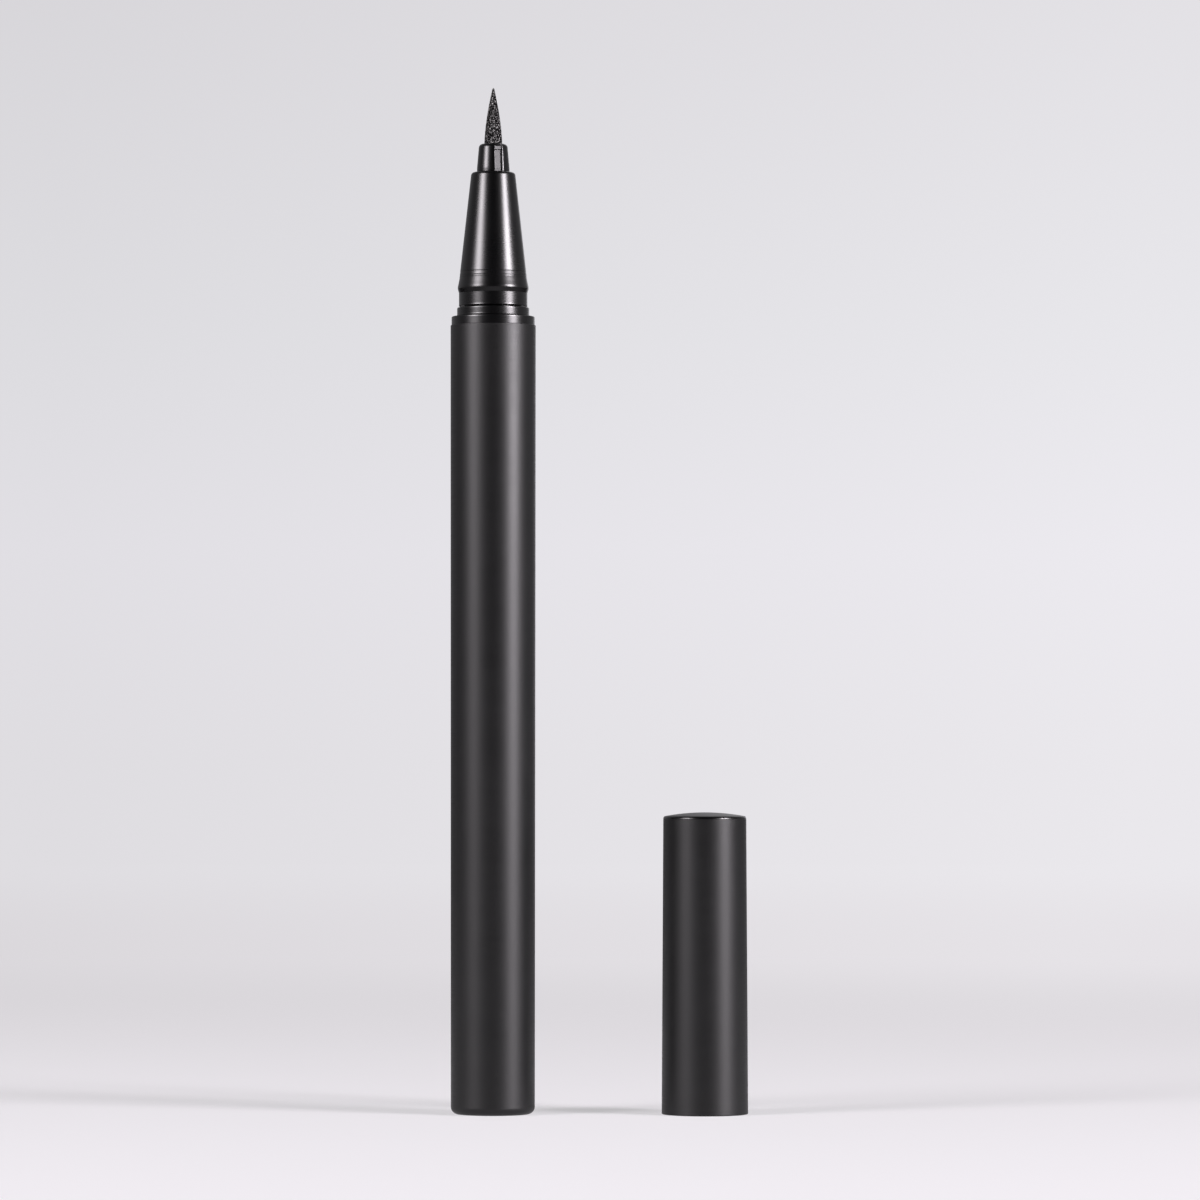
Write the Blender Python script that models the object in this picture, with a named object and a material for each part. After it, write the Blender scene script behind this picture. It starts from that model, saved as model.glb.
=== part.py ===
"""Liquid eyeliner pen that stands on its closed end with its felt tip up, and its cap, taken off, beside it.

Metres, +Z up. The origin is on the pen's axis, on the surface that it stands on. The cap stands at +X with
its open end down. Radii are measured from each piece's own axis, and each outline is a list of
(radius, height, fillet) corners that is turned round that axis.
"""

import itertools
import math

import bmesh
import bpy
from mathutils import Matrix, Vector

MM = 0.001

# Barrel: one closed tube, a little narrower at its base for the mould's draft
BARREL_LENGTH = 98.3 * MM
BARREL_MOUTH_D = 10.64 * MM
BARREL_DRAFT = 0.09 * MM
BARREL_BASE_EDGE = 1.0 * MM
BARREL_MOUTH_EDGE = 0.15 * MM
BARREL_MOUTH_WALL = 0.75 * MM
BARREL_FLOOR = 1.6 * MM
TANK_FLOOR_ROUND = 1.0 * MM
TANK_LEDGE = 0.4 * MM
LEDGE_DEPTH = 27.0 * MM

# Collar and ring: the glossy bushing that plugs into the barrel's mouth
COLLAR_HEIGHT = 1.14 * MM
COLLAR_INSET = 0.12 * MM
COLLAR_EDGE = 0.2 * MM
RING_HEIGHT = 1.1 * MM
RING_INSET = 0.695 * MM
RING_EDGE = 0.3 * MM
BUSHING_WALL = 0.8 * MM
BUSHING_DEPTH = 8.0 * MM
PLUG_CHAMFER = 0.25 * MM

# Nose: neck, snap bead and cone in one moulding, with a spigot inside the bushing
NECK_HEIGHT = 1.62 * MM
NECK_INSET = 0.225 * MM
NECK_FOOT_EDGE = 0.14 * MM
BEAD_RISE = 0.205 * MM
BEAD_LOWER_FLANK = 0.6 * MM
BEAD_UPPER_FLANK = 0.8 * MM
BEAD_ROUND = 0.9 * MM
CONE_HEIGHT = 13.75 * MM
CONE_BASE_INSET = 0.01 * MM
CONE_LIP = 0.665 * MM
CONE_SHOULDER = 0.4 * MM
CONE_BORE_LENGTH = 5.0 * MM
NOSE_SPIGOT = 8.0 * MM
NOSE_WALL = 0.95 * MM

# Ferrule: the tip's holder, which sits on the cone's top with a stem pressed into its bore. Air comes back
# in down its flutes, through grooves of the same width in that bore.
FERRULE_REACH = 3.5 * MM
FERRULE_LIP = 0.65 * MM
FERRULE_FLARE = 0.28 * MM
FERRULE_SHOULDER = 0.45 * MM
FERRULE_STEM = 6.0 * MM
FERRULE_STEM_WALL = 0.5 * MM
FLUTE_COUNT = 2
FLUTE_ANGLE = math.radians(-68)
FLUTE_WIDTH = 0.9 * MM
FLUTE_DEPTH = 0.25 * MM
FLUTE_TOP_DROP = 0.6 * MM

# Felt tip: an ogive with a blunt point, on a round shank
TIP_BASE_D = 2.26 * MM
TIP_LENGTH = 7.05 * MM
TIP_BLUNT_SHARE = 0.09
TIP_SWELL_POWER = 1.6
TIP_SHANK = 8.5 * MM
TIP_SHANK_CHAMFER = 0.2 * MM

# Collector: a comb of fins round the feed rod, with a vent notch, an ink slit and a stem up into the nose
FIN_COUNT = 18
FIN_THICKNESS_SHARE = 0.48
COLLECTOR_WALL = 0.7 * MM
COLLECTOR_FOOT = 0.9 * MM
COLLECTOR_HEADROOM = 0.4 * MM
VENT_WIDTH = 1.3 * MM
VENT_FLOOR_RISE = 0.15 * MM
SLIT_WIDTH = 0.35 * MM

# Feed rod and the partition plug that it passes through
ROD_D = 1.7 * MM
ROD_DIP = 12.0 * MM
ROD_CHAMFER = 0.2 * MM
PLUG_FLANGE_HEIGHT = 2.0 * MM
PLUG_SKIRT = 3.0 * MM
PLUG_SKIRT_WALL = 0.7 * MM
PLUG_NOZZLE = 10.5 * MM
PLUG_NOZZLE_WALL = 0.65 * MM

BALL_D = 4.8 * MM

# Cap: a tapered shell with a low dome, a snap rib at the mouth and a guide for the sprung inner cap
CAP_AXIS_X = 26.4 * MM
CAP_CLEARANCE = 0.125 * MM
CAP_WALL = 0.75 * MM
CAP_TAPER = 0.205 * MM
CAP_TOP_WALL = 1.43 * MM
CAP_TOP_EDGE = 0.35 * MM
CAP_DOME_RISE = 0.5 * MM
CAP_MOUTH_EDGE = 0.1 * MM
CAP_LEAD_IN = 0.3 * MM
SNAP_DROP = 1.05 * MM
SNAP_HEIGHT = 0.9 * MM
SNAP_NECK_CLEARANCE = 0.1 * MM
SNAP_ROUND = 0.25 * MM
GUIDE_STEP = 0.38 * MM
GUIDE_RAMP = 0.6 * MM
KEEPER_HEIGHT = 0.7 * MM
KEEPER_RISE = 0.3 * MM
KEEPER_GAP = 0.1 * MM

# Inner cap: a cup that closes over the tip and seals on the cone
SEAL_OVERLAP = 3.5 * MM
SEAL_CLEARANCE = 0.02 * MM
SEAL_CHAMFER = 0.2 * MM
SEAL_LIP_HEIGHT = 0.5 * MM
INNER_CAP_WALL = 0.6 * MM
INNER_CAP_FLANGE_RISE = 0.3 * MM
INNER_CAP_FLANGE_HEIGHT = 0.8 * MM
INNER_CAP_TOP_WALL = 0.9 * MM
INNER_CAP_TOP_ROUND = 0.6 * MM
TIP_HEADROOM = 0.85 * MM
SPRING_TAKE_UP = 1.0 * MM
SPRING_BOSS_HEIGHT = 0.9 * MM
SPRING_BOSS_CLEARANCE = 0.25 * MM

# Cap spring: an open coil between the inner cap and the cap's closed end
SPRING_SPACE = 6.4 * MM
SPRING_SIDE_GAP = 0.67 * MM
SPRING_WIRE_D = 0.5 * MM
SPRING_TURNS = 4.5
SPRING_POINTS_A_TURN = 10
SPRING_WIRE_ROUNDING = 1

# Clearances between pieces, and how far a cutter overruns what it cuts
SEAM = 0.08 * MM
SEAT_GAP = 0.06 * MM
FIT = 0.1 * MM
FERRULE_FIT = 0.05 * MM
GUIDE_FIT = 0.1 * MM
OVERRUN = 1.0 * MM

# Looks: base colour, roughness and metalness
MATT_BLACK = ((0.012, 0.012, 0.013), 0.42, 0)
GLOSS_BLACK = ((0.006, 0.006, 0.007), 0.2, 0)
BLACK_FELT = ((0.02, 0.02, 0.021), 0.95, 0)
FIBRE = ((0.3, 0.29, 0.28), 0.9, 0)
NATURAL_PLASTIC = ((0.72, 0.72, 0.7), 0.4, 0)
STEEL = ((0.6, 0.6, 0.6), 0.2, 1)

# Faceting
BODY_STEPS = 40
NOSE_STEPS = 40
SMALL_STEPS = 28
COMB_STEPS = 20
FILLET_STEPS = 3
DOME_STEPS = 5
TIP_RINGS = 11
BALL_RINGS = 10
FILLET_REACH_SHARE = 0.7
SHARP_ANGLE = math.radians(32)
MERGE = 0.0005 * MM

# Radii, worked in from the barrel's mouth
barrel_r = BARREL_MOUTH_D / 2
barrel_base_r = barrel_r - BARREL_DRAFT
mouth_bore_r = barrel_r - BARREL_MOUTH_WALL
tank_r = mouth_bore_r - TANK_LEDGE
collar_r = barrel_r - COLLAR_INSET
ring_r = collar_r - RING_INSET
bushing_r = mouth_bore_r - FIT
bushing_bore_r = bushing_r - BUSHING_WALL
neck_r = ring_r - NECK_INSET
bead_r = neck_r + BEAD_RISE
cone_base_r = neck_r - CONE_BASE_INSET
spigot_r = bushing_bore_r - FIT
nose_bore_r = spigot_r - NOSE_WALL

# Radii, worked out from the felt tip
tip_r = TIP_BASE_D / 2
ferrule_bore_r = tip_r + FERRULE_FIT
ferrule_top_r = tip_r + FERRULE_LIP
ferrule_r = ferrule_top_r + FERRULE_FLARE
ferrule_stem_r = ferrule_bore_r + FERRULE_STEM_WALL
cone_bore_r = ferrule_stem_r + FERRULE_FIT
ferrule_slope = FERRULE_FLARE / FERRULE_REACH
cone_top_r = ferrule_r + CONE_LIP
rod_r = ROD_D / 2
rod_bore_r = rod_r + FIT
stem_r = nose_bore_r - FIT
core_r = rod_bore_r + COLLECTOR_WALL
fin_r = mouth_bore_r - FIT

# Heights, worked up from the surface that the pen stands on
ledge_z = BARREL_LENGTH - LEDGE_DEPTH
plug_z = ledge_z + SEAT_GAP
collector_z = plug_z + PLUG_FLANGE_HEIGHT + SEAT_GAP
bushing_z = BARREL_LENGTH + SEAT_GAP
neck_z = bushing_z + COLLAR_HEIGHT + RING_HEIGHT + SEAM
bead_z = neck_z + NECK_HEIGHT + BEAD_LOWER_FLANK
cone_base_z = bead_z + BEAD_UPPER_FLANK
cone_top_z = cone_base_z + CONE_HEIGHT
ferrule_z = cone_top_z + SEAT_GAP
ferrule_top_z = ferrule_z + FERRULE_REACH
shank_end_z = ferrule_top_z - TIP_SHANK
rod_z = ledge_z - ROD_DIP
ball_z = BARREL_FLOOR + BALL_D / 2 + SEAT_GAP

# Cap sizes, taken from the nose that it closes over. Heights are above the cap's mouth.
closed_mouth_z = bushing_z + COLLAR_HEIGHT + SEAT_GAP
cap_bore_r = ring_r + CAP_CLEARANCE
cap_r = cap_bore_r + CAP_WALL
cap_top_r = cap_r - CAP_TAPER
snap_r = neck_r + SNAP_NECK_CLEARANCE
snap_z = bead_z - closed_mouth_z - SNAP_DROP
cone_slope = (cone_base_r - cone_top_r) / CONE_HEIGHT
seal_r = cone_top_r + cone_slope * SEAL_OVERLAP + SEAL_CLEARANCE
guide_r = cap_bore_r - GUIDE_STEP
inner_flange_r = guide_r - GUIDE_FIT
inner_cap_r = inner_flange_r - INNER_CAP_FLANGE_RISE
inner_bore_r = inner_cap_r - INNER_CAP_WALL
spring_r = guide_r - SPRING_SIDE_GAP - SPRING_WIRE_D / 2
inner_cap_z = cone_top_z - SEAL_OVERLAP - closed_mouth_z - SPRING_TAKE_UP
inner_cap_depth = SEAL_OVERLAP + FERRULE_REACH + TIP_LENGTH + TIP_HEADROOM
inner_cap_height = inner_cap_depth + INNER_CAP_TOP_WALL
cap_end_z = inner_cap_z + inner_cap_height + SPRING_SPACE
cap_edge_z = cap_end_z + CAP_TOP_WALL
keeper_top_z = inner_cap_z - KEEPER_GAP
keeper_z = keeper_top_z - KEEPER_HEIGHT


def clear_scene():
    for old in list(bpy.data.objects):
        bpy.data.objects.remove(old)


def material(name, look):
    colour, roughness, metallic = look
    made = bpy.data.materials.new(name)
    made.use_nodes = True
    shader = made.node_tree.nodes["Principled BSDF"]
    shader.inputs["Base Color"].default_value = (*colour, 1)
    shader.inputs["Roughness"].default_value = roughness
    shader.inputs["Metallic"].default_value = metallic
    return made


def axis_empty(name, x):
    empty = bpy.data.objects.new(name, None)
    empty.location.x = x
    bpy.context.scene.collection.objects.link(empty)
    return empty


def place(name, data, parent, z, look):
    piece = bpy.data.objects.new(name, data)
    data.materials.append(material(name, look))
    piece.parent = parent
    piece.location.z = z
    bpy.context.scene.collection.objects.link(piece)
    return piece


def rounded(corners):
    """Outline points for (radius, height, fillet) corners, each fillet an arc that its two sides can hold."""
    points = []
    for i, (x, z, fillet) in enumerate(corners):
        here = Vector((x, z))
        if not fillet:
            points.append(here)
            continue
        before = Vector(corners[i - 1][:2]) - here
        after = Vector(corners[(i + 1) % len(corners)][:2]) - here
        half = before.angle(after) / 2
        reach = min(fillet / math.tan(half), FILLET_REACH_SHARE * min(before.length, after.length))
        start = here + before.normalized() * reach
        end = here + after.normalized() * reach
        middle = (before.normalized() + after.normalized()).normalized()
        centre = here + middle * (reach / math.cos(half))
        turn = (start - centre).angle_signed(end - centre)
        for step in range(FILLET_STEPS + 1):
            spoke = start - centre
            spoke.rotate(Matrix.Rotation(-turn * step / FILLET_STEPS, 2))
            points.append(centre + spoke)
    return points


def turned(name, points, steps, closed):
    """A mesh made by turning outline points round Z. An open outline starts and ends on the axis."""
    work = bmesh.new()
    ring = [work.verts.new((point[0], 0, point[1])) for point in points]
    for a, b in zip(ring, ring[1:]):
        work.edges.new((a, b))
    if closed:
        work.edges.new((ring[-1], ring[0]))
    outline = work.verts[:] + work.edges[:]
    bmesh.ops.spin(work, geom=outline, axis=(0, 0, 1), angle=math.tau, steps=steps, use_merge=True)
    bmesh.ops.remove_doubles(work, verts=work.verts[:], dist=MERGE)
    bmesh.ops.recalc_face_normals(work, faces=work.faces[:])
    mesh = bpy.data.meshes.new(name)
    work.to_mesh(mesh)
    work.free()
    mesh.shade_smooth()
    mesh.set_sharp_from_angle(angle=SHARP_ANGLE)
    return mesh


def box_cutter(name, parent, low, high, turn, slope=0):
    """A box between two corners, turned round its parent's axis, that only cuts. With a slope it leans in."""
    work = bmesh.new()
    for x, y, z in itertools.product(*zip(low, high)):
        work.verts.new((x - slope * z, y, z))
    bmesh.ops.convex_hull(work, input=work.verts[:])
    bmesh.ops.recalc_face_normals(work, faces=work.faces[:])
    mesh = bpy.data.meshes.new(name)
    work.to_mesh(mesh)
    work.free()
    cutter = bpy.data.objects.new(name, mesh)
    cutter.parent = parent
    cutter.rotation_euler.z = turn
    cutter.hide_render = True
    cutter.display_type = "WIRE"
    bpy.context.scene.collection.objects.link(cutter)
    return cutter


def cut(piece, cutter):
    boolean = piece.modifiers.new(cutter.name, "BOOLEAN")
    boolean.operation = "DIFFERENCE"
    boolean.solver = "EXACT"
    boolean.object = cutter


def barrel(pen):
    corners = [
        (0, 0, 0),
        (barrel_base_r, 0, BARREL_BASE_EDGE),
        (barrel_r, BARREL_LENGTH, BARREL_MOUTH_EDGE),
        (mouth_bore_r, BARREL_LENGTH, 0),
        (mouth_bore_r, ledge_z, 0),
        (tank_r, ledge_z, 0),
        (tank_r, BARREL_FLOOR, TANK_FLOOR_ROUND),
        (0, BARREL_FLOOR, 0),
    ]
    mesh = turned("barrel", rounded(corners), BODY_STEPS, closed=False)
    place("barrel", mesh, pen, 0, MATT_BLACK)


def collar_bushing(pen):
    ring_top = COLLAR_HEIGHT + RING_HEIGHT
    corners = [
        (bushing_bore_r, ring_top, 0),
        (ring_r, ring_top, RING_EDGE),
        (ring_r, COLLAR_HEIGHT, 0),
        (collar_r, COLLAR_HEIGHT, COLLAR_EDGE),
        (collar_r, 0, 0),
        (bushing_r, 0, 0),
        (bushing_r, -BUSHING_DEPTH, PLUG_CHAMFER),
        (bushing_bore_r, -BUSHING_DEPTH, 0),
    ]
    mesh = turned("collar_bushing", rounded(corners), NOSE_STEPS, closed=True)
    place("collar_bushing", mesh, pen, bushing_z, GLOSS_BLACK)


def nose_cone(pen):
    bead = NECK_HEIGHT + BEAD_LOWER_FLANK
    top = cone_top_z - neck_z
    corners = [
        (cone_bore_r, top, 0),
        (cone_top_r, top, CONE_SHOULDER),
        (cone_base_r, bead + BEAD_UPPER_FLANK, 0),
        (bead_r, bead, BEAD_ROUND),
        (neck_r, NECK_HEIGHT, 0),
        (neck_r, 0, NECK_FOOT_EDGE),
        (spigot_r, 0, 0),
        (spigot_r, -NOSE_SPIGOT, PLUG_CHAMFER),
        (nose_bore_r, -NOSE_SPIGOT, 0),
        (nose_bore_r, top - CONE_BORE_LENGTH, 0),
        (cone_bore_r, top - CONE_BORE_LENGTH, 0),
    ]
    mesh = turned("nose_cone", rounded(corners), NOSE_STEPS, closed=True)
    nose = place("nose_cone", mesh, pen, neck_z, GLOSS_BLACK)
    low = (0, -FLUTE_WIDTH / 2, top - CONE_BORE_LENGTH - OVERRUN)
    high = (ferrule_r, FLUTE_WIDTH / 2, top + OVERRUN)
    for i in range(FLUTE_COUNT):
        cut(nose, box_cutter(f"vent_groove_cutter_{i + 1}", nose, low, high, flute_turn(i)))


def flute_turn(i):
    return FLUTE_ANGLE + math.tau * i / FLUTE_COUNT


def tip_ferrule(pen):
    corners = [
        (ferrule_bore_r, FERRULE_REACH, 0),
        (ferrule_top_r, FERRULE_REACH, FERRULE_SHOULDER),
        (ferrule_r, 0, 0),
        (ferrule_stem_r, 0, 0),
        (ferrule_stem_r, -FERRULE_STEM, PLUG_CHAMFER),
        (ferrule_bore_r, -FERRULE_STEM, 0),
    ]
    mesh = turned("tip_ferrule", rounded(corners), SMALL_STEPS, closed=True)
    ferrule = place("tip_ferrule", mesh, pen, ferrule_z, GLOSS_BLACK)
    low = (ferrule_r - FLUTE_DEPTH, -FLUTE_WIDTH / 2, -OVERRUN)
    high = (ferrule_r + OVERRUN, FLUTE_WIDTH / 2, FERRULE_REACH - FLUTE_TOP_DROP)
    for i in range(FLUTE_COUNT):
        cutter = box_cutter(f"flute_cutter_{i + 1}", ferrule, low, high, flute_turn(i), ferrule_slope)
        cut(ferrule, cutter)


def felt_tip(pen):
    blunt_r = tip_r * TIP_BLUNT_SHARE
    points = [Vector((0, TIP_LENGTH))]
    for i in range(TIP_RINGS + 1):
        share = i / TIP_RINGS
        swell = 1 - (1 - share) ** TIP_SWELL_POWER
        radius = blunt_r + (tip_r - blunt_r) * swell
        points.append(Vector((radius, (TIP_LENGTH - blunt_r) * (1 - share))))
    points += [
        Vector((tip_r, TIP_SHANK_CHAMFER - TIP_SHANK)),
        Vector((tip_r - TIP_SHANK_CHAMFER, -TIP_SHANK)),
        Vector((0, -TIP_SHANK)),
    ]
    mesh = turned("felt_tip", points, COMB_STEPS, closed=False)
    place("felt_tip", mesh, pen, ferrule_top_z, BLACK_FELT)


def collector(pen):
    comb_length = BARREL_LENGTH - BUSHING_DEPTH - COLLECTOR_HEADROOM - collector_z - COLLECTOR_FOOT
    pitch = comb_length / FIN_COUNT
    thickness = pitch * FIN_THICKNESS_SHARE
    comb_top = COLLECTOR_FOOT + comb_length
    stem_top = ferrule_z - FERRULE_STEM - SEAT_GAP - collector_z
    corners = [(rod_bore_r, 0, 0), (rod_bore_r, stem_top, 0), (stem_r, stem_top, PLUG_CHAMFER)]
    corners.append((stem_r, comb_top, 0))
    for i in reversed(range(FIN_COUNT)):
        fin_top = COLLECTOR_FOOT + pitch * (i + 1)
        fin_bottom = fin_top - thickness
        if i < FIN_COUNT - 1:
            corners.append((core_r, fin_top, 0))
        corners += [(fin_r, fin_top, 0), (fin_r, fin_bottom, 0), (core_r, fin_bottom, 0)]
    corners += [(core_r, COLLECTOR_FOOT, 0), (fin_r, COLLECTOR_FOOT, 0), (fin_r, 0, 0)]
    mesh = turned("collector", rounded(corners), COMB_STEPS, closed=True)
    comb = place("collector", mesh, pen, collector_z, NATURAL_PLASTIC)
    first_gap = COLLECTOR_FOOT + (pitch - thickness) / 2
    vent_low = (-VENT_WIDTH / 2, core_r + VENT_FLOOR_RISE, first_gap)
    vent_high = (VENT_WIDTH / 2, fin_r + OVERRUN, comb_top + OVERRUN)
    cut(comb, box_cutter("vent_cutter", comb, vent_low, vent_high, 0))
    slit_low = (-SLIT_WIDTH / 2, -fin_r - OVERRUN, -OVERRUN)
    slit_high = (SLIT_WIDTH / 2, 0, comb_top - thickness / 2)
    cut(comb, box_cutter("slit_cutter", comb, slit_low, slit_high, 0))


def feed_rod(pen):
    top = shank_end_z - SEAT_GAP - rod_z
    points = [
        Vector((0, top)),
        Vector((rod_r - ROD_CHAMFER, top)),
        Vector((rod_r, top - ROD_CHAMFER)),
        Vector((rod_r, ROD_CHAMFER)),
        Vector((rod_r - ROD_CHAMFER, 0)),
        Vector((0, 0)),
    ]
    mesh = turned("feed_rod", points, COMB_STEPS, closed=False)
    place("feed_rod", mesh, pen, rod_z, FIBRE)


def partition_plug(pen):
    flange_r = mouth_bore_r - FIT
    skirt_r = tank_r - FIT
    corners = [
        (rod_bore_r, PLUG_FLANGE_HEIGHT, 0),
        (flange_r, PLUG_FLANGE_HEIGHT, 0),
        (flange_r, 0, 0),
        (skirt_r, 0, 0),
        (skirt_r, -PLUG_SKIRT, PLUG_CHAMFER),
        (skirt_r - PLUG_SKIRT_WALL, -PLUG_SKIRT, 0),
        (skirt_r - PLUG_SKIRT_WALL, 0, 0),
        (rod_bore_r + PLUG_NOZZLE_WALL, 0, 0),
        (rod_bore_r + PLUG_NOZZLE_WALL, -PLUG_NOZZLE, PLUG_CHAMFER),
        (rod_bore_r, -PLUG_NOZZLE, 0),
    ]
    mesh = turned("partition_plug", rounded(corners), SMALL_STEPS, closed=True)
    place("partition_plug", mesh, pen, plug_z, NATURAL_PLASTIC)


def agitator_ball(pen):
    points = []
    for i in range(BALL_RINGS + 1):
        angle = math.pi * i / BALL_RINGS
        points.append(Vector((BALL_D / 2 * math.sin(angle), BALL_D / 2 * math.cos(angle))))
    points[0].x = 0
    points[-1].x = 0
    mesh = turned("agitator_ball", points, COMB_STEPS, closed=False)
    place("agitator_ball", mesh, pen, ball_z, STEEL)


def cap_shell(cap):
    corners = [(0, cap_edge_z + CAP_DOME_RISE, 0)]
    dome_r = cap_top_r - 2 * CAP_TOP_EDGE
    for i in range(1, DOME_STEPS + 1):
        radius = dome_r * i / DOME_STEPS
        corners.append((radius, cap_edge_z + CAP_DOME_RISE * (1 - (radius / cap_top_r) ** 2), 0))
    corners += [
        (cap_top_r, cap_edge_z, CAP_TOP_EDGE),
        (cap_r, 0, CAP_MOUTH_EDGE),
        (cap_bore_r + CAP_LEAD_IN / 2, 0, 0),
        (cap_bore_r, CAP_LEAD_IN, 0),
        (cap_bore_r, snap_z - SNAP_HEIGHT / 2, 0),
        (snap_r, snap_z, SNAP_ROUND),
        (cap_bore_r, snap_z + SNAP_HEIGHT / 2, 0),
        (cap_bore_r, keeper_z - GUIDE_RAMP, 0),
        (guide_r - KEEPER_RISE, keeper_z, 0),
        (guide_r - KEEPER_RISE, keeper_top_z, 0),
        (guide_r, keeper_top_z, 0),
        (guide_r, cap_end_z, INNER_CAP_TOP_ROUND),
        (0, cap_end_z, 0),
    ]
    mesh = turned("cap_shell", rounded(corners), BODY_STEPS, closed=False)
    place("cap_shell", mesh, cap, 0, MATT_BLACK)


def inner_cap(cap):
    top = inner_cap_height
    boss_r = spring_r - SPRING_WIRE_D / 2 - SPRING_BOSS_CLEARANCE
    corners = [
        (0, top + SPRING_BOSS_HEIGHT, 0),
        (boss_r, top + SPRING_BOSS_HEIGHT, PLUG_CHAMFER),
        (boss_r, top, 0),
        (inner_flange_r, top, 0),
        (inner_flange_r, top - INNER_CAP_FLANGE_HEIGHT, 0),
        (inner_cap_r, top - INNER_CAP_FLANGE_HEIGHT, 0),
        (inner_cap_r, INNER_CAP_FLANGE_HEIGHT, 0),
        (inner_flange_r, INNER_CAP_FLANGE_HEIGHT, 0),
        (inner_flange_r, 0, 0),
        (seal_r + SEAL_CHAMFER, 0, 0),
        (seal_r, SEAL_CHAMFER, 0),
        (seal_r, SEAL_LIP_HEIGHT, 0),
        (inner_bore_r, SEAL_LIP_HEIGHT, 0),
        (inner_bore_r, inner_cap_depth, INNER_CAP_TOP_ROUND),
        (0, inner_cap_depth, 0),
    ]
    mesh = turned("inner_cap", rounded(corners), SMALL_STEPS, closed=False)
    place("inner_cap", mesh, cap, inner_cap_z, NATURAL_PLASTIC)


def cap_spring(cap):
    low = inner_cap_z + inner_cap_height + SPRING_WIRE_D / 2 + SEAT_GAP
    high = cap_end_z - SPRING_WIRE_D / 2 - SEAT_GAP
    count = round(SPRING_TURNS * SPRING_POINTS_A_TURN)
    points = []
    for i in range(count + 1):
        angle = math.tau * i / SPRING_POINTS_A_TURN
        height = (high - low) * (i / count)
        points.append(Vector((spring_r * math.cos(angle), spring_r * math.sin(angle), height)))
    half_turn = SPRING_POINTS_A_TURN // 2
    least = min(
        (points[j] - points[i]).length
        for i in range(len(points))
        for j in range(i + half_turn, len(points))
    )
    print(f"cap_spring: least gap to itself {(least - SPRING_WIRE_D) / MM:.2f} mm")
    curve = bpy.data.curves.new("cap_spring", "CURVE")
    curve.dimensions = "3D"
    curve.bevel_depth = SPRING_WIRE_D / 2
    curve.bevel_resolution = SPRING_WIRE_ROUNDING
    curve.use_fill_caps = True
    spline = curve.splines.new("POLY")
    spline.points.add(count)
    for target, point in zip(spline.points, points):
        target.co = (*point, 1)
    place("cap_spring", curve, cap, low, STEEL)


def main():
    clear_scene()
    pen = axis_empty("pen_axis", 0)
    barrel(pen)
    collar_bushing(pen)
    nose_cone(pen)
    tip_ferrule(pen)
    felt_tip(pen)
    collector(pen)
    feed_rod(pen)
    partition_plug(pen)
    agitator_ball(pen)
    cap = axis_empty("cap_axis", CAP_AXIS_X)
    cap_shell(cap)
    inner_cap(cap)
    cap_spring(cap)


main()
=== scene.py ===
"""Studio scene of a liquid eyeliner pen, felt tip up, with its cap standing beside it open end down.

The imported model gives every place. The pieces that show, and the inner cap and the spring in the cap, are
made here again with fine edges, the grain and lines of the real ones, and a procedural finish. The others
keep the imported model's shape. Outlines are lists of (radius, height, fillet) in millimetres, radii from the
piece's own axis and heights from the surface that the pen and the cap stand on.
"""

import math

import bmesh
import bpy
import numpy as np
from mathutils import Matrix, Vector, noise


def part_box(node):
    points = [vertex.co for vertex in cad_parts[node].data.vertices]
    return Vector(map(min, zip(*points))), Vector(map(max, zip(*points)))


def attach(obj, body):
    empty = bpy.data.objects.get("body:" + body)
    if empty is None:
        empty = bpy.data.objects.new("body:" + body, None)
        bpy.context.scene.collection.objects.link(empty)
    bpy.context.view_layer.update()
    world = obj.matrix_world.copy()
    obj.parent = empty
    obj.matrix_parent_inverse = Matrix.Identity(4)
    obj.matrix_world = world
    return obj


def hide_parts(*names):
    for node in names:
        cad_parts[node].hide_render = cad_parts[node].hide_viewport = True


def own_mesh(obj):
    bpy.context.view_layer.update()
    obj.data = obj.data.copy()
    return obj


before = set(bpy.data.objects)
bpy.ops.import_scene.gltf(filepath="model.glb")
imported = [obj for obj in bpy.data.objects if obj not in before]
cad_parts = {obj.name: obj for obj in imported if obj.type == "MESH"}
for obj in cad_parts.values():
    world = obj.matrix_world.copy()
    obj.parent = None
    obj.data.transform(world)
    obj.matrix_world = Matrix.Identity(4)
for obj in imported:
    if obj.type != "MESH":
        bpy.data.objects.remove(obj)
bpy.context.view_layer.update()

MM = 0.001
ON_AXIS = 1e-6  # a smaller radius is a point on the axis
FINE_STEPS = 256
FILLET_STEPS = 8
FILLET_SHARE = 0.7  # the most that a fillet takes of the shorter run beside its corner
STEM = 8.0  # how deep the collar goes into the barrel, and the nose into the collar


def node_sizes(node):
    """Axis position, outer radius, lowest and highest point of a turned node, in millimetres."""
    low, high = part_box(node)
    axis = (low.x + high.x) / 2
    return axis / MM, (high.x - axis) / MM, low.z / MM, high.z / MM


def smooth(t):
    t = np.clip(t, 0, 1)
    return t * t * (3 - 2 * t)


# Shapes


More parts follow.
